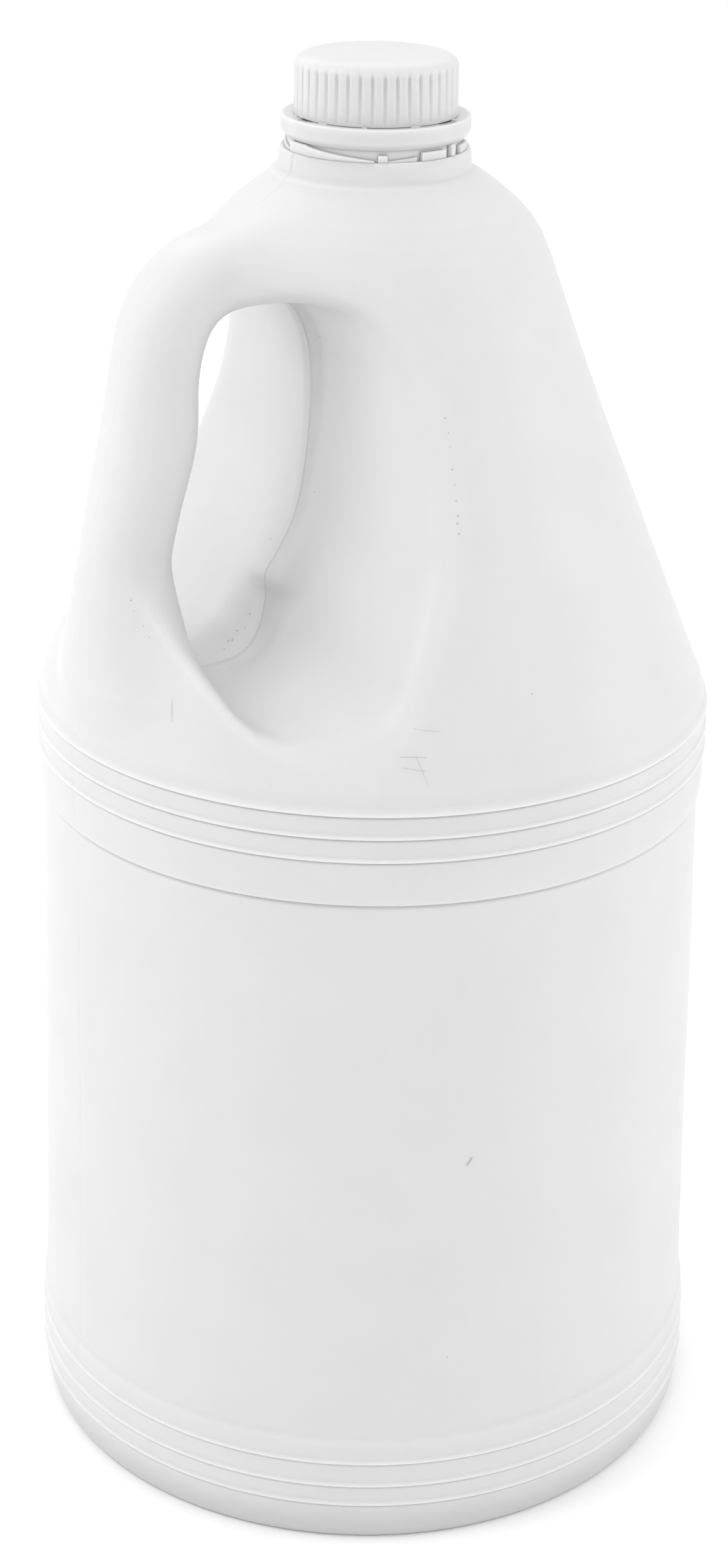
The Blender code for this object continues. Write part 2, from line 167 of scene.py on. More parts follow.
def rounded(corners: Corners, steps: int) -> Outline:
    """Round the corners of an outline.

    Args:
        corners: radius, height and rounding length of each corner.
        steps: how many stretches each rounded corner gets.

    Returns:
        Radius and height of each point of the rounded outline.
    """
    out: Outline = []
    for index, (radius, height, size) in enumerate(corners):
        here = Vector((radius, height))
        if size <= 0 or index in (0, len(corners) - 1):
            out.append((radius, height))
            continue
        before = Vector(corners[index - 1][:2]) - here
        after = Vector(corners[index + 1][:2]) - here
        start = here + before.normalized() * min(size, before.length * ROUNDED_SHARE)
        end = here + after.normalized() * min(size, after.length * ROUNDED_SHARE)
        for step in range(steps + 1):
            t = step / steps
            place = start * (1 - t) ** 2 + here * 2 * t * (1 - t) + end * t ** 2
            out.append((place.x, place.y))
    return out


def linked(name: str, mesh: bmesh.types.BMesh) -> bpy.types.Object:
    """Link a bmesh as an object.

    Args:
        name: the object's name.
        mesh: its mesh, which is freed.

    Returns:
        The linked object.
    """
    data = bpy.data.meshes.new(name)
    mesh.to_mesh(data)
    mesh.free()
    thing = bpy.data.objects.new(name, data)
    bpy.context.collection.objects.link(thing)
    return thing


def working_object(name: str, mesh: bmesh.types.BMesh) -> bpy.types.Object:
    """Link a closed bmesh as an object that is still in millimetres, and free it."""
    bmesh.ops.recalc_face_normals(mesh, faces=mesh.faces)
    return linked(name, mesh)


def apply_modifier(thing: bpy.types.Object, kind: str, **settings: object) -> None:
    """Add one modifier to an object and apply it.

    Args:
        thing: the object.
        kind: the modifier's type.
        settings: the modifier's own settings.
    """
    modifier = thing.modifiers.new(kind.lower(), kind)
    for key, value in settings.items():
        setattr(modifier, key, value)
    bpy.context.view_layer.update()
    shown = thing.evaluated_get(bpy.context.evaluated_depsgraph_get())
    done = bpy.data.meshes.new_from_object(shown)
    thing.modifiers.clear()
    thing.data = done


def cut_out(thing: bpy.types.Object, tool: bpy.types.Object) -> None:
    """Cut a working solid out of an object and remove it."""
    apply_modifier(thing, "BOOLEAN", operation="DIFFERENCE", solver="EXACT", use_self=True, object=tool)
    bpy.data.objects.remove(tool, do_unlink=True)


def loop_edges(ring: list[bmesh.types.BMVert]) -> list[bmesh.types.BMEdge]:
    """List the edges of a new ring of vertices."""
    return list({edge for vertex in ring for edge in vertex.link_edges})


def finish_piece(name: str, mesh: bmesh.types.BMesh, material: bpy.types.Material, node: str,
                 sharp: float = 50.0) -> bpy.types.Object:
    """Make a finished piece of a bmesh, in metres, riding on the jug.

    Args:
        name: the piece's name.
        mesh: its mesh in millimetres, which is freed.
        material: what it is made of.
        node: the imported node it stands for.
        sharp: edges turning more than this many degrees stay sharp.

    Returns:
        The linked object.
    """
    bmesh.ops.recalc_face_normals(mesh, faces=mesh.faces)
    bmesh.ops.scale(mesh, vec=(MM, MM, MM), verts=mesh.verts)
    thing = linked(name, mesh)
    thing.data.materials.append(material)
    thing.data.shade_smooth()
    thing.data.set_sharp_from_angle(angle=math.radians(sharp))
    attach(thing, "root")
    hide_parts(node)
    LOG.info("%s: %d faces", name, len(thing.data.polygons))
    return thing


# ---------------------------------------------------------------- the jug's form


@dataclass
class JugForm:
    """The form of shoulder, pocket and handle as distances in mm, below zero in the plastic.

    Rows of shoulder and lean are a height and the radius or the axis's shift there. All other
    rows start with the reach towards the handle. A row of the pocket's top, foot or sill adds
    a height, a handle row a height, half thickness and half width, and a web row a distance to
    the side and a height. The pocket's foot changes from seam_foot beside the mould line to
    open_foot further out.
    """

    shoulder: Rows = (
        (187.0, 76.0), (192.4, 83.2), (193.5, 83.6), (196.5, 82.9), (200.0, 81.4), (212.0, 76.7),
        (229.0, 70.1), (246.0, 63.6), (263.0, 56.9), (280.0, 50.7), (296.0, 45.2), (304.0, 42.4),
        (309.0, 40.3), (313.0, 37.7), (316.5, 34.5), (319.5, 31.0), (322.5, 27.1), (325.0, 24.2),
        (327.0, 22.0), (328.5, 20.0))
    lean: Rows = ((193.5, 0.0), (322.0, 0.8), (325.0, 1.5))
    pocket_top: Rows = (
        (110.0, 301.0), (60.0, 300.2), (38.0, 299.6), (27.6, 296.4), (21.8, 287.0), (19.6, 276.0),
        (19.6, 264.0), (21.2, 250.0))
    seam_foot: Rows = (
        (23.6, 240.0), (28.0, 231.6), (31.8, 226.0), (31.7, 219.5), (33.6, 211.8), (38.2, 206.6),
        (46.0, 205.0))
    open_foot: Rows = (
        (23.9, 239.5), (27.6, 230.5), (31.6, 221.5), (35.8, 214.0), (42.0, 208.6), (50.0, 205.8))
    pocket_sill: Rows = ((62.0, 204.4), (72.0, 206.0), (110.0, 214.0))
    curve_steps: int = 6
    pocket_draft: float = 0.045
    near_seam: float = 3.0
    clear_of_seam: float = 16.0
    seam_start: float = 1.6
    seam_width: float = 5.2
    step_heights: tuple[float, ...] = (206.0, 216.0, 226.0, 240.0, 256.0, 284.0)
    step_sizes: tuple[float, ...] = (0.3, 0.5, 0.6, 1.1, 1.7, 3.2)
    seam_offset: float = 0.25
    seam_return: float = 0.03
    seam_return_width: float = 50.0
    lip_heights: tuple[float, ...] = (199.0, 207.0, 216.0, 240.0, 262.0)
    lip_rounds: tuple[float, ...] = (8.0, 5.5, 4.0, 6.0, 10.0)
    tight_reach: Span = (46.0, 62.0)
    tight_share: Span = (1.0, 0.5)
    cone_slope: float = 0.92
    section_power: float = 2.6
    section_share: float = 0.925
    handle: Rows = (
        (12.0, 307.0, 8.6, 17.0), (29.0, 307.2, 9.2, 15.5), (42.0, 305.6, 9.6, 14.2),
        (50.6, 302.6, 10.0, 13.2), (56.6, 297.2, 10.2, 12.8), (60.1, 290.0, 10.2, 12.6),
        (62.0, 280.5, 10.1, 12.8), (63.6, 265.8, 11.0, 13.6), (67.6, 249.0, 10.6, 13.0),
        (70.2, 235.3, 10.6, 12.8), (71.0, 217.5, 11.0, 14.0), (66.5, 196.0, 10.8, 14.5))
    web: Rows = ((71.8, 4.9, 221.3), (71.8, 16.6, 216.5), (70.4, 27.5, 210.6), (69.0, 37.6, 204.9),
                 (66.6, 46.3, 199.6), (61.5, 55.7, 195.4))
    web_radius: float = 8.0
    web_blend: float = 6.0
    blend_heights: tuple[float, ...] = (193.5, 208.0, 235.0, 285.0)
    blend_sizes: tuple[float, ...] = (3.0, 15.0, 13.0, 9.0)
    places_at_once: int = 1500
    slope_step: float = 0.05
    least_slope: float = 0.05
    longest_move: float = 6.0
    pocket_curve: np.ndarray = field(init=False)
    open_curve: np.ndarray = field(init=False)
    handle_curve: np.ndarray = field(init=False)

    def __post_init__(self) -> None:
        """Work out the smooth curves of pocket and handle."""
        self.pocket_curve, self.open_curve = (
            smooth_curve(self.pocket_top + foot + self.pocket_sill, self.curve_steps)
            for foot in (self.seam_foot, self.open_foot))
        self.handle_curve = smooth_curve(self.handle, self.curve_steps)

    @staticmethod
    def nearest(curve: np.ndarray, reach: np.ndarray,
                height: np.ndarray) -> tuple[np.ndarray, np.ndarray, np.ndarray]:
        """Find the nearest point of a curve in the parting plane.

        Args:
            curve: the curve's points, distance towards the handle and height first.
            reach: each place's distance towards the handle.
            height: each place's height.

        Returns:
            Distance, side and place along the curve.
        """
        (u0, v0), (du, dv) = curve[:-1, :2].T, np.diff(curve[:, :2], axis=0).T
        u, v = reach[:, None] - u0, height[:, None] - v0
        along = np.clip((u * du + v * dv) / (du * du + dv * dv), 0.0, 1.0)
        u -= along * du
        v -= along * dv
        square = u * u + v * v
        pick = square.argmin(1)
        rows = np.arange(len(reach))
        cross = du[pick] * v[rows, pick] - dv[pick] * u[rows, pick]
        return np.sqrt(square[rows, pick]), np.sign(cross), pick + along[rows, pick]

    def radius_at(self, height: np.ndarray | float) -> np.ndarray | float:
        """Radius of the plain shoulder at a height."""
        heights, radii = np.array(self.shoulder).T
        return np.interp(height, heights, radii)

    def lean_at(self, height: np.ndarray | float) -> np.ndarray | float:
        """How far the axis has shifted towards the handle at a height."""
        heights, shifts = np.array(self.lean).T
        return np.interp(height, heights, shifts)

    def pocket_distance(self, places: np.ndarray) -> np.ndarray:
        """Distance to the pocket's wall, above zero on the body's side of it.

        Args:
            places: points, one row each.

        Returns:
            Their distances.
        """
        off = places[:, 1]
        turn = np.clip((self.seam_start - off) / self.seam_width, 0.0, 1.0)
        step = np.interp(places[:, 2], self.step_heights, self.step_sizes)
        step = step * (1.0 - (1.0 - turn * turn) ** 3 - self.seam_offset)
        step -= self.seam_return * np.clip(-off - self.seam_width, 0.0, self.seam_return_width)
        reach = -places[:, 0] + self.pocket_draft * np.abs(off) + step
        distance, side, _ = self.nearest(self.pocket_curve, reach, places[:, 2])
        clear, clear_side, _ = self.nearest(self.open_curve, reach, places[:, 2])
        mix = (np.abs(off) - self.near_seam) / (self.clear_of_seam - self.near_seam)
        mix = np.clip(mix, 0.0, 1.0)
        mix = mix * mix * (3.0 - 2.0 * mix)
        return -(distance * side * (1.0 - mix) + clear * clear_side * mix)

    def handle_distance(self, places: np.ndarray) -> np.ndarray:
        """Distance to the handle's oval tube.

        Args:
            places: points, one row each.

        Returns:
            Their distances.
        """
        distance, _, along = self.nearest(self.handle_curve, -places[:, 0], places[:, 2])
        stations = np.arange(len(self.handle_curve))
        thick = np.interp(along, stations, self.handle_curve[:, 2]) * self.section_share
        wide = np.interp(along, stations, self.handle_curve[:, 3]) * self.section_share
        power = self.section_power
        share = (distance / thick) ** power + (np.abs(places[:, 1]) / wide) ** power
        return (share ** (1.0 / power) - 1.0) * thick

    def web_distance(self, places: np.ndarray) -> np.ndarray:
        """Distance to the round web beside the handle's root, the same on both sides.

        Args:
            places: points, one row each.

        Returns:
            Their distances.
        """
        at = np.stack([-places[:, 0], np.abs(places[:, 1]), places[:, 2]], -1)
        start, step = np.array(self.web[:-1]), np.diff(np.array(self.web), axis=0)
        offset = at[:, None, :] - start[None]
        along = np.clip((offset * step).sum(-1) / (step ** 2).sum(-1), 0.0, 1.0)
        return np.linalg.norm(offset - along[..., None] * step, axis=-1).min(1) - self.web_radius

    def distance(self, places: np.ndarray) -> np.ndarray:
        """Distance to the whole form, worked out for a few places at a time."""
        parts = np.array_split(places, len(places) // self.places_at_once + 1)
        return np.concatenate([self.distance_of(part) for part in parts])

    def distance_of(self, places: np.ndarray) -> np.ndarray:
        """Distance to the whole form for a few places.

        Args:
            places: points, one row each.

        Returns:
            Their distances, below zero in the plastic.
        """
        radius = np.hypot(places[:, 0] + self.lean_at(places[:, 2]), places[:, 1])
        cone = (radius - self.radius_at(places[:, 2])) * self.cone_slope
        kept = smooth_min(-self.pocket_distance(places), self.web_distance(places), self.web_blend)
        lip = np.interp(places[:, 2], self.lip_heights, self.lip_rounds)
        lip *= np.interp(-places[:, 0], self.tight_reach, self.tight_share)
        body = -smooth_min(-cone, -kept, lip)
        blend = np.interp(places[:, 2], self.blend_heights, self.blend_sizes)
        return smooth_min(body, self.handle_distance(places), blend)

    def settle(self, places: np.ndarray, rounds: int) -> np.ndarray:
        """Move places onto the form along its slope.

        Args:
            places: points near the form.
            rounds: how many steps they take.

        Returns:
            The moved points.
        """
        places = places.copy()
        step, longest = self.slope_step, self.longest_move
        for _ in range(rounds):
            value = self.distance(places)
            slope = np.stack([self.distance(places + step * axis) - value for axis in np.eye(3)], -1)
            slope /= step
            size = np.maximum((slope ** 2).sum(-1), self.least_slope)
            places -= np.clip(value / size, -longest, longest)[:, None] * slope
        return places


@dataclass
class JugBody:
    """The jug in one skin: turned body, shoulder with handle and pocket, and turned neck.

    Rows of panel are a radius and a height. Rows of panel_end and band_start are steps out and
    up from the panel's top, with a rounding length. Rows of teeth are the turns at which a
    tooth starts and ends, its rise above the collar at each, and how far it stands out. The
    teeth go half way round and repeat.
    """

    form: JugForm = field(default_factory=JugForm)
    foot_r: float = 81.5
    foot_width: float = 14.0
    push_up: float = 2.5
    push_up_slope: float = 4.0
    corner_rise: float = 10.0
    corner_steps: int = 8
    base_r: float = 84.85
    base_grooves_z: tuple[float, ...] = (10.4, 15.6, 21.8)
    base_groove_share: float = 0.9
    base_band_top: float = 27.5
    base_step_in: float = 0.65
    base_step_up: float = 1.3
    panel: Rows = (
        (84.1, 33.5), (83.9, 42.0), (83.65, 62.0), (83.5, 90.0), (83.4, 125.0), (83.1, 150.0))
    panel_rounding: float = 4.0
    panel_top: float = 168.6
    panel_end: Rows = ((-0.05, -0.8, 0.3), (-0.7, 0.0, 0.15))
    band_r: float = 84.1
    band_start: Rows = ((-0.35, 0.6, 0.3), (0.0, 2.8, 1.4))
    shoulder_grooves_z: tuple[float, ...] = (179.9, 185.6, 191.2)
    crease_width: float = 0.5
    crease_depth: float = 0.75
    bead_heights: tuple[float, ...] = (0.3, 0.75, 1.3)
    bead_proud: float = 0.55
    bead_fall: float = 0.15
    crest_z: float = 193.5
    low_cut: float = 195.0
    high_cut: float = 323.6
    body_gap: float = 1.2
    neck_gap: float = 0.6
    bridge_inside: float = 1.0
    bridge_beyond: float = 3.0
    blank_low: float = 187.0
    blank_columns: int = 96
    pocket_reach: float = 95.0
    tube_sides: int = 32
    voxel: float = 1.28
    quick_voxel: float = 1.8
    settled_below: float = 4.0
    settled_above: float = 2.0
    smoothing: float = 0.5
    settle_rounds: int = 8
    quick_rounds: int = 4
    end_steps: int = 3
    columns: int = 216
    neck_columns: int = 192
    body_steps: int = 2
    neck_steps: int = 3
    collar_r: float = 23.15
    collar_foot_r: float = 23.45
    collar_foot_z: float = 325.1
    collar_edge_in: float = 0.4
    collar_edge_drop: float = 1.0
    collar_top: float = 330.2
    neck_foot_drop: float = 0.4
    neck_r: float = 21.2
    neck_low_top: float = 334.0
    inner_r: float = 18.2
    neck_top: float = 348.4
    ring_columns: int = 720
    ring_sunk: float = 1.4
    ring_inset: float = 0.5
    tooth_gap_in: float = 0.9
    tooth_gap_drop: float = 0.2
    tooth_bevel: float = 0.15
    tooth_r: float = 22.0
    teeth: tuple[tuple[float, ...], ...] = (
        (2.0, 8.0, 1.6, 1.5, 0.3), (8.0, 27.0, 0.2, 0.9, 0.0), (30.0, 49.0, 1.9, 1.9, 0.4),
        (54.0, 58.0, 2.6, 2.6, 0.5), (66.0, 84.0, 1.8, 1.8, 0.2), (88.0, 112.0, 1.4, 0.3, 0.0),
        (115.0, 133.0, 2.4, 2.4, 0.4), (133.0, 180.0, 2.2, 0.3, 0.5))
    seam_low: float = 12.0
    seam_half: float = 0.42
    seam_weld: float = 0.02
    seam_touch: float = 0.03
    seam_proud: float = 0.1
    seam_proud_inside: float = 0.15
    seam_crease: float = 0.22
    hole_reach: Span = (-49.0, -15.0)
    hole_heights: Span = (204.0, 300.0)
    far_half_proud: float = 0.22
    far_half_edge: float = 0.3
    far_half_low: float = 300.0
    far_half_rise: float = 22.0
    far_half_above: float = 0.5

    def pocket_block(self) -> bpy.types.Object:
        """Make the block that cuts the pocket through the shoulder.

        Returns:
            The block as a working object.
        """
        block = bmesh.new()
        corners = [block.verts.new((-reach, -self.pocket_reach, height))
                   for reach, height in self.form.pocket_curve[:, :2]]
        face = block.faces.new(corners)
        made = bmesh.ops.extrude_face_region(block, geom=[face])["geom"]
        moved = [item for item in made if isinstance(item, bmesh.types.BMVert)]
        bmesh.ops.translate(block, verts=moved, vec=(0.0, 2 * self.pocket_reach, 0.0))
        return working_object("pocket", block)

    def add_tube(self, mesh: bmesh.types.BMesh, rows: list[tuple[Vector, float, float]]) -> None:
        """Lay a closed oval tube over the blank.

        Args:
            mesh: the blank's mesh.
            rows: centre, half thickness and half width of each ring.
        """
        loops = []
        for index, (centre, thick, wide) in enumerate(rows):
            before = rows[max(index - 1, 0)][0]
            after = rows[min(index + 1, len(rows) - 1)][0]
            along = (after - before).normalized()
            out = Vector((-along.z, 0.0, along.x)).normalized()
            across = along.cross(out).normalized()
            frame = Matrix((out * thick, across * wide, along)).transposed().to_4x4()
            ring = bmesh.ops.create_circle(mesh, segments=self.tube_sides, radius=1.0, cap_ends=False,
                                           matrix=Matrix.Translation(centre) @ frame)["verts"]
            loops.append(loop_edges(ring))
        for low, high in zip(loops, loops[1:]):
            bmesh.ops.bridge_loops(mesh, edges=low + high)
        for loop in (loops[0], loops[-1]):
            bmesh.ops.contextual_create(mesh, geom=loop)

    def shoulder_blank(self) -> bpy.types.Object:
        """Make the shoulder of plain shapes: a cone less the pocket, with tubes over it.

        Returns:
            The blank as a working object.
        """
        profile = self.form.shoulder
        outline = [(0.0, self.blank_low)] + [(radius, height) for height, radius in profile]
        blank = turned(outline + [(0.0, profile[-1][0])], self.blank_columns)
        for vertex in blank.verts:
            vertex.co.x -= float(self.form.lean_at(vertex.co.z))
        thing = working_object("shoulder", blank)
        cut_out(thing, self.pocket_block())
        whole = bmesh.new()
        whole.from_mesh(thing.data)
        self.add_tube(whole, [(Vector((-reach, 0.0, height)), thick, wide)
                              for reach, height, thick, wide in self.form.handle_curve])
        radius = self.form.web_radius
        for side in Side:
            self.add_tube(whole, [(Vector((-reach, side.value * off, height)), radius, radius)
                                  for reach, off, height in self.form.web])
        bmesh.ops.recalc_face_normals(whole, faces=whole.faces)
        whole.to_mesh(thing.data)
        whole.free()
        return thing

    def settle(self, mesh: bmesh.types.BMesh, rounds: int) -> None:
        """Even out the shoulder's mesh and move it onto the form, in turns.

        Args:
            mesh: the shoulder's mesh.
            rounds: how many turns it takes.
        """
        low, high = self.low_cut - self.settled_below, self.high_cut + self.settled_above
        free = [v for v in mesh.verts if low < v.co.z < high]
        for index in range(rounds):
            if index:
                bmesh.ops.smooth_vert(mesh, verts=free, factor=self.smoothing, use_axis_x=True,
                                      use_axis_y=True, use_axis_z=True)
            steps = self.end_steps if index in (0, rounds - 1) else 1
            places = self.form.settle(np.array([v.co[:] for v in free]), steps)
            for vertex, place in zip(free, places):
                vertex.co = place

    def cut(self, mesh: bmesh.types.BMesh, height: float, keep_above: bool) -> None:
        """Cut the mesh level and drop what is beyond the cut.

        Args:
            mesh: the shoulder's mesh.
            height: height of the cut.
            keep_above: whether the part above it is kept, not the part below.
        """
        bmesh.ops.bisect_plane(mesh, geom=mesh.verts[:] + mesh.edges[:] + mesh.faces[:],
                               plane_co=(0.0, 0.0, height), plane_no=UP,
                               clear_inner=keep_above, clear_outer=not keep_above)
        rim = [v for v in mesh.verts if v.is_boundary and abs(v.co.z - height) < SAME_LEVEL]
        places = self.form.settle(np.array([v.co[:] for v in rim]), self.end_steps)
        for vertex, place in zip(rim, places):
            vertex.co = (place[0], place[1], height)

    def groove(self, height: float, radius: float, share: float = 1.0) -> Corners:
        """Corners of one sharp crease under a fine bead, from below.

        Args:
            height: height of the crease.
            radius: radius of the wall beside it.
            share: how much of the full depth it has.

        Returns:
            Radius, height and rounding length of each corner.
        """
        low, middle, high = self.bead_heights
        proud = radius + self.bead_proud * share
        return [(radius, height - self.crease_width, 0.25),
                (radius - self.crease_depth * share, height, 0.08),
                (proud, height + low, 0.1),
                (proud - self.bead_fall, height + middle, 0.15),
                (radius, height + high, 0.2)]

    def body_outline(self) -> Outline:
        """Outline of the turned body.

        Returns:
            Radius and height of each point, from the centre of the foot to the shoulder.
        """
        inner = self.foot_r - self.foot_width
        corners = [(0.0, self.push_up, 0.0), (inner - self.push_up_slope, self.push_up, 3.0),
                   (inner, 0.0, 2.0), (self.foot_r, 0.0, 0.6)]
        width = self.base_r - self.foot_r
        for step in range(1, self.corner_steps + 1):
            angle = step * math.pi / (2 * self.corner_steps + 3)
            height = self.corner_rise * (1 - math.cos(angle))
            corners.append((self.foot_r + width * math.sin(angle), height, 0.0))
        for height in self.base_grooves_z:
            corners += self.groove(height, self.base_r, self.base_groove_share)
        corners += [(self.base_r, self.base_band_top, 0.6),
                    (self.base_r - self.base_step_in, self.base_band_top + self.base_step_up, 0.6)]
        corners += [(radius, height, self.panel_rounding) for radius, height in self.panel]
        for wall, edge in ((self.panel[-1][0], self.panel_end), (self.band_r, self.band_start)):
            corners += [(wall + out, self.panel_top + up, size) for out, up, size in edge]
        for height in self.shoulder_grooves_z:
            corners += self.groove(height, self.band_r)
        last = self.low_cut - self.body_gap
        corners += [(float(self.form.radius_at(self.crest_z)), self.crest_z, 0.5),
                    (float(self.form.radius_at(last)), last, 0.0)]
        return rounded(corners, self.body_steps)

    def neck_outline(self) -> Outline:
        """Outline of the dome's top, the collar and the neck.

        Returns:
            Radius and height of each point, from the dome to the middle of the neck's top.
        """
        first = self.high_cut + self.neck_gap
        return rounded([
            (float(self.form.radius_at(first)), first, 0.0),
            (self.collar_foot_r, self.collar_foot_z, 0.7),
            (self.collar_r, self.collar_top - self.collar_edge_drop, 0.9),
            (self.collar_r - self.collar_edge_in, self.collar_top, 0.4),
            (self.neck_r, self.collar_top - self.neck_foot_drop, 0.3),
            (self.neck_r, self.neck_low_top, 0.2),
            (self.inner_r, self.neck_low_top, 0.0),
            (self.inner_r, self.neck_top, 0.3),
            (0.0, self.neck_top, 0.0)], self.neck_steps)

    @staticmethod
    def rim(mesh: bmesh.types.BMesh, low: float, high: float) -> list[bmesh.types.BMEdge]:
        """Open edges between two heights."""
        open_edges = (e for e in mesh.edges if e.is_boundary)
        return [e for e in open_edges if all(low < v.co.z < high for v in e.verts)]

    def in_hole(self, place: Vector) -> bool:
        """Whether a place is on the body's side of the hole under the handle."""
        (far, near), (low, high) = self.hole_reach, self.hole_heights
        return far < place.x < near and low < place.z < high

    def raise_seam(self, mesh: bmesh.types.BMesh) -> None:
        """Raise the fine line that the mould's parting plane leaves.

        Args:
            mesh: the jug's mesh.
        """
        for off in (-self.seam_half, 0.0, self.seam_half):
            bmesh.ops.bisect_plane(mesh, geom=mesh.verts[:] + mesh.edges[:] + mesh.faces[:],
                                   dist=self.seam_weld, plane_co=(0.0, off, 0.0),
                                   plane_no=(0.0, 1.0, 0.0))
        mesh.normal_update()
        line = [(v, v.normal.copy()) for v in mesh.verts
                if abs(v.co.y) < self.seam_touch and self.seam_low < v.co.z < self.collar_top]
        crease = [(v, v.normal.copy()) for v in mesh.verts
                  if abs(v.co.y + self.seam_half) < self.seam_touch and self.in_hole(v.co)]
        low, high = self.far_half_low, self.collar_top + self.far_half_above
        for vertex in mesh.verts:
            if vertex.co.y > self.far_half_edge and low < vertex.co.z < high:
                share = min((vertex.co.z - low) / self.far_half_rise, 1.0)
                out = Vector((vertex.co.x, vertex.co.y, 0.0)).normalized()
                vertex.co += out * self.far_half_proud * share
        for vertex, normal in line:
            inside = self.in_hole(vertex.co)
            vertex.co += normal * (self.seam_proud_inside if inside else self.seam_proud)
        for vertex, normal in crease:
            vertex.co -= normal * self.seam_crease

    def ratchet(self) -> bmesh.types.BMesh:
        """Make the toothed ring between the collar and the band.

        Returns:
            The closed ring, its teeth given by their turn from the camera's side.
        """
        low, inner = self.collar_top - self.ring_sunk, self.neck_r - self.ring_inset
        sections = []
        for column in range(self.ring_columns):
            turn = (column * WHOLE_TURN / self.ring_columns) % (WHOLE_TURN / 2)
            height = self.collar_top - self.tooth_gap_drop
            reach = self.tooth_r - self.tooth_gap_in
            for start, end, first, last, out in self.teeth:
                if start <= turn < end:
                    share = (turn - start) / (end - start)
                    height = self.collar_top + first + (last - first) * share
                    reach = self.tooth_r + out
            sections.append([(inner, low), (reach, low), (reach, height - self.tooth_bevel),
                             (reach - self.tooth_bevel, height), (inner, height)])
        return ring_of(sections, self.form.lean[-1][1])

    def build(self, material: bpy.types.Material) -> bpy.types.Object:
        """Build the jug and dress it.

        Args:
            material: the jug's plastic.

        Returns:
            The finished jug.
        """
        voxel = self.voxel
        blank = self.shoulder_blank()
        apply_modifier(blank, "REMESH", mode="VOXEL", voxel_size=voxel, use_smooth_shade=True)
        jug = bmesh.new()
        jug.from_mesh(blank.data)
        bpy.data.objects.remove(blank, do_unlink=True)
        LOG.info("shoulder remeshed: %d corners", len(jug.verts))
        self.settle(jug, self.settle_rounds)
        LOG.info("shoulder settled")
        self.cut(jug, self.low_cut, True)
        self.cut(jug, self.high_cut, False)
        add_mesh(jug, turned(self.body_outline(), self.columns))
        add_mesh(jug, turned(self.neck_outline(), self.neck_columns, self.form.lean[-1][1]))
        inside, beyond = self.bridge_inside, self.bridge_beyond
        for low, high in ((self.low_cut - beyond, self.low_cut + inside),
                          (self.high_cut - inside, self.high_cut + beyond)):
            bmesh.ops.bridge_loops(jug, edges=self.rim(jug, low, high))
        LOG.info("open edges left: %d", sum(e.is_boundary for e in jug.edges))
        self.raise_seam(jug)
        add_mesh(jug, self.ratchet())
        return finish_piece("jug_body", jug, material, "jug")


# ---------------------------------------------------------------- wear


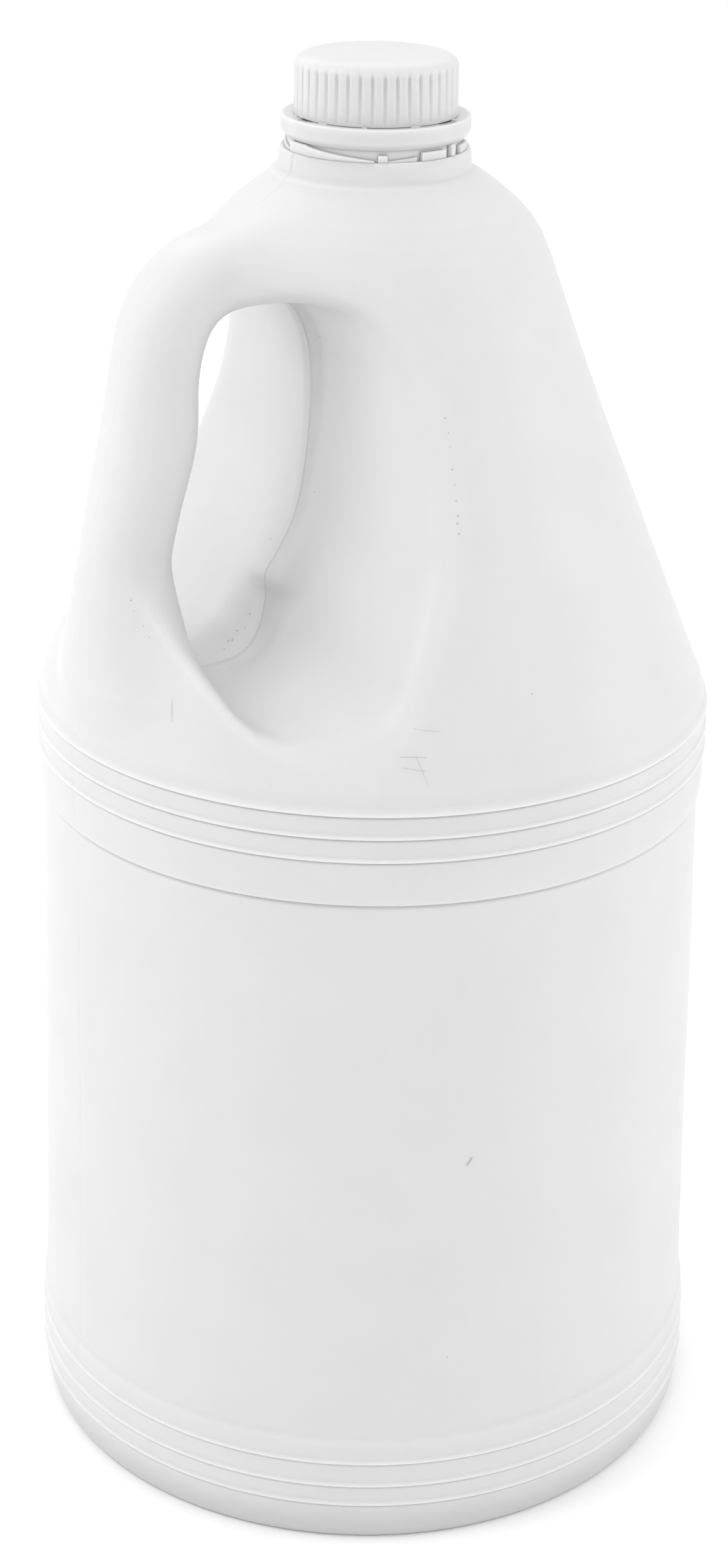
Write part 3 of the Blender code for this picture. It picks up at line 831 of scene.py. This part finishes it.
@dataclass
class Wear:
    """The specks and scratches of a used jug, each of one or more small flat flecks in the skin.

    A row of specks is a place and half a width. A row of scratches is two ends and half a width.
    """

    specks: Rows = (
        (-12.6, -50.0, 275.9, 0.24), (-12.4, -51.3, 272.6, 0.18), (-12.5, -52.3, 269.5, 0.14),
        (-12.9, -53.9, 264.6, 0.21), (-12.9, -55.2, 261.3, 0.16), (-13.3, -56.5, 257.8, 0.19),
        (-13.5, -57.8, 254.6, 0.26), (-14.0, -58.3, 252.9, 0.24), (-14.1, -59.2, 250.7, 0.26),
        (-21.6, -5.2, 246.7, 0.21), (-20.8, -3.8, 284.5, 0.24), (-27.2, 4.7, 232.6, 0.24),
        (-32.6, 5.1, 213.8, 0.26), (-34.2, 4.9, 210.5, 0.21), (-35.1, 6.8, 209.0, 0.26),
        (-37.1, 6.0, 207.1, 0.26), (-37.8, 6.7, 206.7, 0.22), (-40.0, 5.1, 205.8, 0.26),
        (-42.8, -7.6, 205.3, 0.19), (-44.3, -6.3, 205.1, 0.18), (-75.4, -13.5, 230.9, 0.21),
        (-75.1, -14.6, 228.5, 0.16), (-73.7, -16.6, 225.2, 0.16), (-72.9, -18.2, 222.8, 0.13),
        (-3.6, -75.5, 214.9, 0.21), (-25.3, -79.2, 49.7, 0.19), (-79.3, -28.0, 182.2, 0.13))
    scratches: Rows = (
        (-71.2, -27.6, 209.8, -71.9, -29.2, 205.6, 0.09),
        (-30.7, -67.8, 208.8, -27.0, -72.0, 209.1, 0.05),
        (-35.4, -69.5, 203.6, -31.1, -72.7, 203.8, 0.06),
        (-35.8, -71.3, 201.7, -31.9, -74.1, 201.1, 0.05),
        (-21.5, -80.1, 101.0, -20.6, -80.3, 102.5, 0.22),
        (-32.7, -71.5, 203.9, -31.9, -75.5, 198.5, 0.04))
    flatness: float = 0.3
    spacing: float = 0.5
    overlap: float = 0.8

    def fleck(self, mesh: bmesh.types.BMesh, tree: BVHTree, place: Vector, size: float,
              along: Vector | None = None) -> None:
        """Lay one fleck on the skin.

        Args:
            mesh: the mesh of all flecks.
            tree: the jug's faces.
            place: a point near the skin, in millimetres.
            size: half the fleck's width.
            along: the way it is drawn out, if it is part of a scratch.
        """
        found, normal, _, _ = tree.find_nearest(place * MM)
        ahead = (along or normal.orthogonal()).normalized()
        across = normal.cross(ahead).normalized()
        long = self.spacing * self.overlap if along else size
        axes = Matrix((normal.cross(across) * long, across * size, normal * size * self.flatness))
        where = Matrix.Translation(found / MM) @ axes.transposed().to_4x4()
        bmesh.ops.create_icosphere(mesh, subdivisions=1, radius=1.0, matrix=where)

    def build(self, skin: bpy.types.Object, material: bpy.types.Material) -> None:
        """Lay all the marks on the jug's skin.

        Args:
            skin: the finished jug.
            material: what the marks are made of.
        """
        tree = BVHTree.FromPolygons([v.co[:] for v in skin.data.vertices],
                                    [p.vertices[:] for p in skin.data.polygons])
        marks = bmesh.new()
        for x, y, z, size in self.specks:
            self.fleck(marks, tree, Vector((x, y, z)), size)
        for row in self.scratches:
            start, end = Vector(row[:3]), Vector(row[3:6])
            count = max(2, round((end - start).length / self.spacing))
            for step in range(count + 1):
                self.fleck(marks, tree, start.lerp(end, step / count), row[6], end - start)
        finish_piece("jug_marks", marks, material, "jug")


# ---------------------------------------------------------------- the cap


@dataclass
class ScrewCap:
    """The ribbed cap and its tamper band, with a ledge, windows and bridges between them.

    Rows of the fades are a rise above a level and the share of the ribs' depth there. Rows of
    windows and bridges are the turns at which each starts and ends, from the camera's side.
    """

    axis_shift: float = 1.5
    radius: float = 19.8
    low: float = 337.9
    top: float = 352.5
    low_bevel: float = 0.1
    flat_r: float = 15.9
    rim_drop: float = 2.7
    rim_steps: int = 8
    bore_r: float = 18.6
    roof: float = 2.6
    ribs: int = 42
    rib_points: int = 14
    rib_depth: float = 0.55
    rib_groove_half: float = 0.21
    rib_low: float = 338.2
    rib_low_fade: Rows = ((-0.1, 0.0), (0.0, 0.1), (0.4, 0.25), (1.0, 0.35))
    rib_high_fade: Rows = ((-1.2, 1.0), (-0.5, 0.85))
    rib_end_share: float = 0.6
    rib_end_loss: float = 0.2
    cap_sharp: float = 60.0
    band_sharp: float = 40.0
    band_r: float = 23.0
    band_wall: float = 1.2
    band_low: float = 332.9
    band_top: float = 338.0
    band_columns: int = 720
    band_steps: int = 3
    chamfer_in: float = 1.2
    chamfer_up: float = 1.4
    lip_in: float = 0.2
    lip_up: float = 0.8
    slope_in: float = 0.15
    slope_up: float = 0.1
    cap_gap: Span = (0.15, 0.25)
    ledge_z: float = 337.8
    ledge_r: float = 19.3
    ledge_edge: float = 0.9
    ledge_root: float = 1.1
    window_inset: float = 0.3
    bridge_rise: float = 0.3
    windows: Rows = ((50.0, 66.0), (118.0, 132.0), (230.0, 246.0), (298.0, 310.0))
    bridges: Rows = (
        (351.0, 354.4), (25.0, 32.0), (66.5, 70.0), (102.0, 109.0), (140.0, 143.5), (174.0, 181.0),
        (212.0, 215.5), (247.0, 254.0), (285.0, 288.5), (318.0, 325.0))

    def ribbed_ring(self, mesh: bmesh.types.BMesh, radius: float, height: float,
                    depth: float) -> list[bmesh.types.BMEdge]:
        """Make a ring whose vertices dip into the grooves between the ribs.

        Args:
            mesh: the cap's mesh.
            radius: radius on the ribs.
            height: height of the ring.
            depth: how deep the grooves are at this height.

        Returns:
            The ring's edges.
        """
        centre = Matrix.Translation((-self.axis_shift, 0.0, height))
        ring = bmesh.ops.create_circle(mesh, segments=self.ribs * self.rib_points, radius=radius,
                                       cap_ends=False, matrix=centre)["verts"]
        for vertex in ring:
            turn = math.atan2(vertex.co.y, vertex.co.x + self.axis_shift)
            phase = (turn / math.tau * self.ribs) % 1.0
            dip = max(0.0, 1.0 - abs(phase - 0.5) / self.rib_groove_half)
            reach = radius - depth * (1.0 - (1.0 - dip) ** 2)
            vertex.co.x = reach * math.cos(turn) - self.axis_shift
            vertex.co.y = reach * math.sin(turn)
        return loop_edges(ring)

    def build_cap(self, material: bpy.types.Material) -> None:
        """Build the ribbed cap.

        Args:
            material: the cap's plastic.
        """
        cap = bmesh.new()
        shoulder, bevel = self.top - self.rim_drop, self.low_bevel
        levels = [(self.bore_r, self.top - self.roof, 0.0), (self.bore_r, self.low, 0.0),
                  (self.radius - bevel, self.low, 0.0), (self.radius, self.low + bevel, 0.0)]
        for base, fade in ((self.rib_low, self.rib_low_fade), (shoulder, self.rib_high_fade)):
            levels += [(self.radius, base + rise, share) for rise, share in fade]
        for step in range(self.rim_steps + 1):
            angle = step * math.pi / (2 * self.rim_steps)
            reach = self.flat_r + (self.radius - self.flat_r) * math.cos(angle)
            height = shoulder + self.rim_drop * math.sin(angle)
            levels.append((reach, height, max(0.0, self.rib_end_share - step * self.rib_end_loss)))
        rings = [self.ribbed_ring(cap, radius, height, share * self.rib_depth)
                 for radius, height, share in levels]
        for low, high in zip(rings, rings[1:]):
            bmesh.ops.bridge_loops(cap, edges=low + high)
        for ring in (rings[0], rings[-1]):
            bmesh.ops.contextual_create(cap, geom=ring)
        finish_piece("screw_cap", cap, material, "cap", self.cap_sharp)

    def band_section(self, ledge: float, top: float) -> Outline:
        """Outline of the band and its ledge at one place round it.

        Args:
            ledge: radius that the ledge reaches in to.
            top: height of the ledge's inner part.

        Returns:
            Radius and height of each point.
        """
        inner = self.band_r - self.band_wall
        near, far = self.cap_gap
        return rounded([
            (inner - self.lip_in, self.band_low + self.lip_up, 0.0),
            (inner - self.lip_in, self.band_low, 0.2),
            (self.band_r - self.chamfer_in, self.band_low, 0.3),
            (self.band_r, self.band_low + self.chamfer_up, 0.6),
            (self.band_r, self.band_top, 0.5),
            (inner + self.slope_in, self.band_top, 0.3),
            (inner, self.ledge_z + self.slope_up, 0.3),
            (self.radius + far, self.ledge_z, 0.1),
            (self.radius + near, top, 0.1),
            (ledge, top, 0.0),
            (ledge, self.ledge_z - self.ledge_edge, 0.0),
            (inner - self.lip_in, self.ledge_z - self.ledge_root, 0.0)], self.band_steps)

    def build_band(self, material: bpy.types.Material) -> None:
        """Build the tamper band under the cap with its ledge, windows and bridges.

        Args:
            material: the cap's plastic.
        """
        inner = self.band_r - self.band_wall
        sections = []
        for column in range(self.band_columns):
            turn = column * WHOLE_TURN / self.band_columns
            window = any(start <= turn < end for start, end in self.windows)
            bridge = any(start <= turn < end for start, end in self.bridges)
            sections.append(self.band_section(
                inner - self.window_inset if window else self.ledge_r,
                self.low + self.bridge_rise if bridge else self.ledge_z))
        band = ring_of(sections, self.axis_shift)
        finish_piece("tamper_band", band, material, "cap", self.band_sharp)

    def build(self, material: bpy.types.Material) -> None:
        """Build cap and band."""
        self.build_cap(material)
        self.build_band(material)


# ---------------------------------------------------------------- finishes


@dataclass(frozen=True)
class PlasticFinish:
    """A satin moulded plastic.

    Noise scales and streak_stretch count cells in a metre, the two heights of the painted foot
    shade are in metres, and depth_of_light and the bumps are in millimetres. The painted foot
    shade is painted shadow: below those heights the colour darkens towards the floor, where
    the jug stands.
    """

    name: str
    colour: tuple[float, float, float]
    roughness: float
    gloss: float = 0.35
    milkiness: float = 0.7
    depth_of_light: float = 2.6
    grain_scale: float = 1300.0
    grain_detail: float = 3.0
    grain_bump: float = 0.03
    peel_scale: float = 170.0
    peel_detail: float = 2.0
    peel_bump: float = 0.05
    cloud_scale: float = 44.0
    cloud_detail: float = 5.0
    cloud_range: Span = (0.42, 0.72)
    cloud_shade: float = 0.018
    streak_stretch: tuple[float, float, float] = (520.0, 520.0, 30.0)
    streak_detail: float = 2.0
    streak_range: Span = (0.35, 0.75)
    streak_shade: float = 0.004
    streak_bump: float = 0.008
    # painted shade: how dark the colour gets at the floor, standing in for the shadow where the jug
    # stands; 1.0 paints none
    painted_foot_shade: float = 1.0
    painted_shade_heights: Span = (0.003, 0.013)
    rough_range: Span = (0.3, 0.7)
    rough_spread: Span = (-0.05, 0.06)

    @staticmethod
    def noise(tree: bpy.types.NodeTree, where: bpy.types.NodeSocket, scale: float,
              detail: float) -> bpy.types.NodeSocket:
        """Add one noise texture.

        Args:
            tree: the material's nodes.
            where: the coordinates.
            scale: how fine it is.
            detail: how many finer layers it has.

        Returns:
            Its value.
        """
        node = tree.nodes.new("ShaderNodeTexNoise")
        node.inputs["Scale"].default_value = scale
        node.inputs["Detail"].default_value = detail
        tree.links.new(where, node.inputs["Vector"])
        return node.outputs["Fac"]

    def drawn_out(self, tree: bpy.types.NodeTree, where: bpy.types.NodeSocket) -> bpy.types.NodeSocket:
        """Stretch the coordinates upright, for the streaks of the blown plastic.

        Args:
            tree: the material's nodes.
            where: the coordinates.

        Returns:
            The stretched coordinates.
        """
        node = tree.nodes.new("ShaderNodeMapping")
        node.inputs["Scale"].default_value = self.streak_stretch
        tree.links.new(where, node.inputs["Vector"])
        return node.outputs["Vector"]

    @staticmethod
    def ranged(tree: bpy.types.NodeTree, value: bpy.types.NodeSocket, source: Span,
               target: Span) -> bpy.types.NodeSocket:
        """Map a value from one range to another.

        Args:
            tree: the material's nodes.
            value: the value.
            source: the range it comes from.
            target: the range it is brought to.

        Returns:
            The mapped value.
        """
        node = tree.nodes.new("ShaderNodeMapRange")
        node.inputs["From Min"].default_value, node.inputs["From Max"].default_value = source
        node.inputs["To Min"].default_value, node.inputs["To Max"].default_value = target
        tree.links.new(value, node.inputs["Value"])
        return node.outputs["Result"]

    @staticmethod
    def combined(tree: bpy.types.NodeTree, operation: str, first: bpy.types.NodeSocket,
                 second: bpy.types.NodeSocket | float) -> bpy.types.NodeSocket:
        """Combine a value with another value or with a number.

        Args:
            tree: the material's nodes.
            operation: the sum that is done.
            first: the value.
            second: the other value or the number.

        Returns:
            The result.
        """
        node = tree.nodes.new("ShaderNodeMath")
        node.operation = operation
        tree.links.new(first, node.inputs[0])
        if isinstance(second, float):
            node.inputs[1].default_value = second
        else:
            tree.links.new(second, node.inputs[1])
        return node.outputs["Value"]

    def build(self) -> bpy.types.Material:
        """Make the material's nodes.

        Returns:
            The material.
        """
        material = bpy.data.materials.new(self.name)
        material.use_nodes = True
        tree = material.node_tree
        shader = tree.nodes["Principled BSDF"]
        shader.inputs["Base Color"].default_value = (*self.colour, 1.0)
        shader.inputs["Roughness"].default_value = self.roughness
        shader.inputs["Specular IOR Level"].default_value = self.gloss
        shader.inputs["Subsurface Weight"].default_value = self.milkiness
        shader.inputs["Subsurface Radius"].default_value = (1.0, 1.0, 1.0)
        shader.inputs["Subsurface Scale"].default_value = self.depth_of_light * MM
        where = tree.nodes.new("ShaderNodeTexCoord").outputs["Object"]
        clouds = self.noise(tree, where, self.cloud_scale, self.cloud_detail)
        streaks = self.noise(tree, self.drawn_out(tree, where), 1.0, self.streak_detail)
        shade = self.ranged(tree, clouds, self.cloud_range, (1.0, 1.0 - self.cloud_shade))
        lines = self.ranged(tree, streaks, self.streak_range, (1.0, 1.0 - self.streak_shade))
        # painted shade: the colour darkens towards the floor below the given heights, as painted shadow
        # at the foot
        height = tree.nodes.new("ShaderNodeSeparateXYZ")
        tree.links.new(where, height.inputs[0])
        foot = self.ranged(tree, height.outputs["Z"], self.painted_shade_heights, (self.painted_foot_shade, 1.0))
        foot.node.interpolation_type = "SMOOTHSTEP"
        # the colour's factor: random mottle and streaks, times the painted shade at the foot
        mottle_and_painted_shade = self.combined(tree, "MULTIPLY", self.combined(tree, "MULTIPLY", shade, lines), foot)
        scaled = tree.nodes.new("ShaderNodeVectorMath")
        scaled.operation = "SCALE"
        scaled.inputs[0].default_value = self.colour
        tree.links.new(mottle_and_painted_shade, scaled.inputs["Scale"])
        tree.links.new(scaled.outputs["Vector"], shader.inputs["Base Color"])
        smooth, coarse = self.rough_spread
        rough = self.ranged(tree, clouds, self.rough_range,
                            (self.roughness + smooth, self.roughness + coarse))
        tree.links.new(rough, shader.inputs["Roughness"])
        fine = self.noise(tree, where, self.grain_scale, self.grain_detail)
        grain = self.combined(tree, "MULTIPLY", fine, self.grain_bump)
        broad = self.noise(tree, where, self.peel_scale, self.peel_detail)
        peel = self.combined(tree, "MULTIPLY", broad, self.peel_bump)
        drawn = self.combined(tree, "MULTIPLY", streaks, self.streak_bump)
        relief = self.combined(tree, "ADD", self.combined(tree, "ADD", grain, peel), drawn)
        bump = tree.nodes.new("ShaderNodeBump")
        bump.inputs["Strength"].default_value = 1.0
        bump.inputs["Distance"].default_value = MM
        tree.links.new(relief, bump.inputs["Height"])
        tree.links.new(bump.outputs["Normal"], shader.inputs["Normal"])
        return material


# the jug's colour gets painted shade that darkens it towards the floor
JUG_PLASTIC = PlasticFinish("white jug plastic", (0.63, 0.63, 0.63), 0.42, painted_foot_shade=0.86)
SOILING = PlasticFinish("soiling", (0.4, 0.4, 0.4), 0.6, gloss=0.2, milkiness=0.0)
CAP_PLASTIC = PlasticFinish("white cap plastic", (0.615, 0.615, 0.615), 0.34, cloud_shade=0.01)


# ---------------------------------------------------------------- studio


@dataclass
class Studio:
    """Floor, lights, surroundings and camera.

    Lengths are in metres, angles in degrees and powers in watts. A box's place is its height
    and its distance from the axis, and a row of boxes is its angle from the camera's side and
    its power, as in ceiling_box.
    """

    camera_at: tuple[float, float, float] = (-0.3834, -0.6136, 0.4765)
    camera_azimuth: float = -32.0
    yaw: float = -0.037
    pitch: float = 15.879
    roll: float = -0.9
    lens: float = 70.07
    sensor: float = 36.0
    shift: Span = (-0.0071, -0.2573)
    clip: Span = (0.01, 50.0)
    surroundings: float = 0.91
    floor_colour: tuple[float, float, float] = (0.95, 0.95, 0.95)
    floor_roughness: float = 0.9
    floor_size: float = 12.0
    floor_squares: int = 8
    aim_height: float = 0.17
    low_place: Span = (0.35, 1.0)
    low_size: Span = (0.4, 1.0)
    low_boxes: Rows = ((-115.0, 1.2), (-70.0, 0.6), (70.0, 0.7), (90.0, 1.4))
    high_place: Span = (0.95, 0.9)
    high_size: Span = (0.6, 0.6)
    high_boxes: Rows = ((-140.0, 0.6), (-70.0, 2.9), (0.0, 2.0), (70.0, 0.9))
    ceiling_place: Span = (1.6, 1.2)
    ceiling_size: Span = (2.0, 2.0)
    ceiling_box: Span = (180.0, 8.5)

    def build_camera(self) -> None:
        """Place the camera."""
        yaw, pitch, roll = (math.radians(angle) for angle in (self.yaw, self.pitch, self.roll))
        reach = math.cos(pitch)
        ahead = Vector((math.sin(yaw) * reach, math.cos(yaw) * reach, -math.sin(pitch)))
        right = Vector((math.cos(yaw), -math.sin(yaw), 0.0))
        down = ahead.cross(right)
        level = right * math.cos(roll) + down * math.sin(roll)
        below = down * math.cos(roll) - right * math.sin(roll)
        spin = Matrix.Rotation(math.radians(self.camera_azimuth), 3, "Z")
        axes = Matrix((spin @ level, -(spin @ below), -(spin @ ahead))).transposed()
        data = bpy.data.cameras.new("camera")
        data.lens = self.lens
        data.sensor_width = self.sensor
        data.shift_x, data.shift_y = self.shift
        data.clip_start, data.clip_end = self.clip
        camera = bpy.data.objects.new("camera", data)
        camera.matrix_world = Matrix.Translation(self.camera_at) @ axes.to_4x4()
        bpy.context.collection.objects.link(camera)
        bpy.context.scene.camera = camera

    def build_floor(self) -> None:
        """Lay the pale floor."""
        floor = bmesh.new()
        bmesh.ops.create_grid(floor, x_segments=self.floor_squares, y_segments=self.floor_squares,
                              size=self.floor_size / 2)
        thing = linked("floor", floor)
        material = bpy.data.materials.new("floor paper")
        material.use_nodes = True
        shader = material.node_tree.nodes["Principled BSDF"]
        shader.inputs["Base Color"].default_value = (*self.floor_colour, 1.0)
        shader.inputs["Roughness"].default_value = self.floor_roughness
        thing.data.materials.append(material)

    def soft_box(self, name: str, azimuth: float, place: Span, size: Span, power: float,
                 faces_jug: bool = True) -> None:
        """Hang one soft box.

        Args:
            name: the light's name.
            azimuth: degrees round from the camera's side, to the right if above zero.
            place: height of its centre, and the centre's distance from the axis.
            size: width and height.
            power: its power in watts.
            faces_jug: whether it faces the jug, not the floor right under it.
        """
        height, distance = place
        data = bpy.data.lights.new(name, "AREA")
        data.shape = "RECTANGLE"
        data.size, data.size_y = size
        data.energy = power
        turn = math.radians(self.camera_azimuth + azimuth)
        centre = Vector((distance * math.sin(turn), -distance * math.cos(turn), height))
        light = bpy.data.objects.new(name, data)
        light.location = centre
        if faces_jug:
            away = centre - Vector((0.0, 0.0, self.aim_height))
            light.rotation_mode = "QUATERNION"
            light.rotation_quaternion = away.to_track_quat("Z", "Y")
        bpy.context.collection.objects.link(light)

    def build(self) -> None:
        """Set the scene."""
        world = bpy.data.worlds.new("surroundings")
        world.use_nodes = True
        backdrop = world.node_tree.nodes["Background"]
        backdrop.inputs["Color"].default_value = (1.0, 1.0, 1.0, 1.0)
        backdrop.inputs["Strength"].default_value = self.surroundings
        bpy.context.scene.world = world
        bpy.context.scene.view_settings.view_transform = "Standard"
        self.build_floor()
        for azimuth, power in self.low_boxes:
            self.soft_box(f"low box {azimuth:.0f}", azimuth, self.low_place, self.low_size, power)
        for azimuth, power in self.high_boxes:
            self.soft_box(f"high box {azimuth:.0f}", azimuth, self.high_place, self.high_size, power)
        azimuth, power = self.ceiling_box
        self.soft_box("ceiling box", azimuth, self.ceiling_place, self.ceiling_size, power, False)
        self.build_camera()


def main() -> None:
    """Build the pieces in order and set the scene."""
    logging.basicConfig(level=logging.INFO, format="%(relativeCreated)6d %(name)s: %(message)s")
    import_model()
    skin = JugBody().build(JUG_PLASTIC.build())
    Wear().build(skin, SOILING.build())
    ScrewCap().build(CAP_PLASTIC.build())
    Studio().build()


if __name__ == "__main__":
    main()
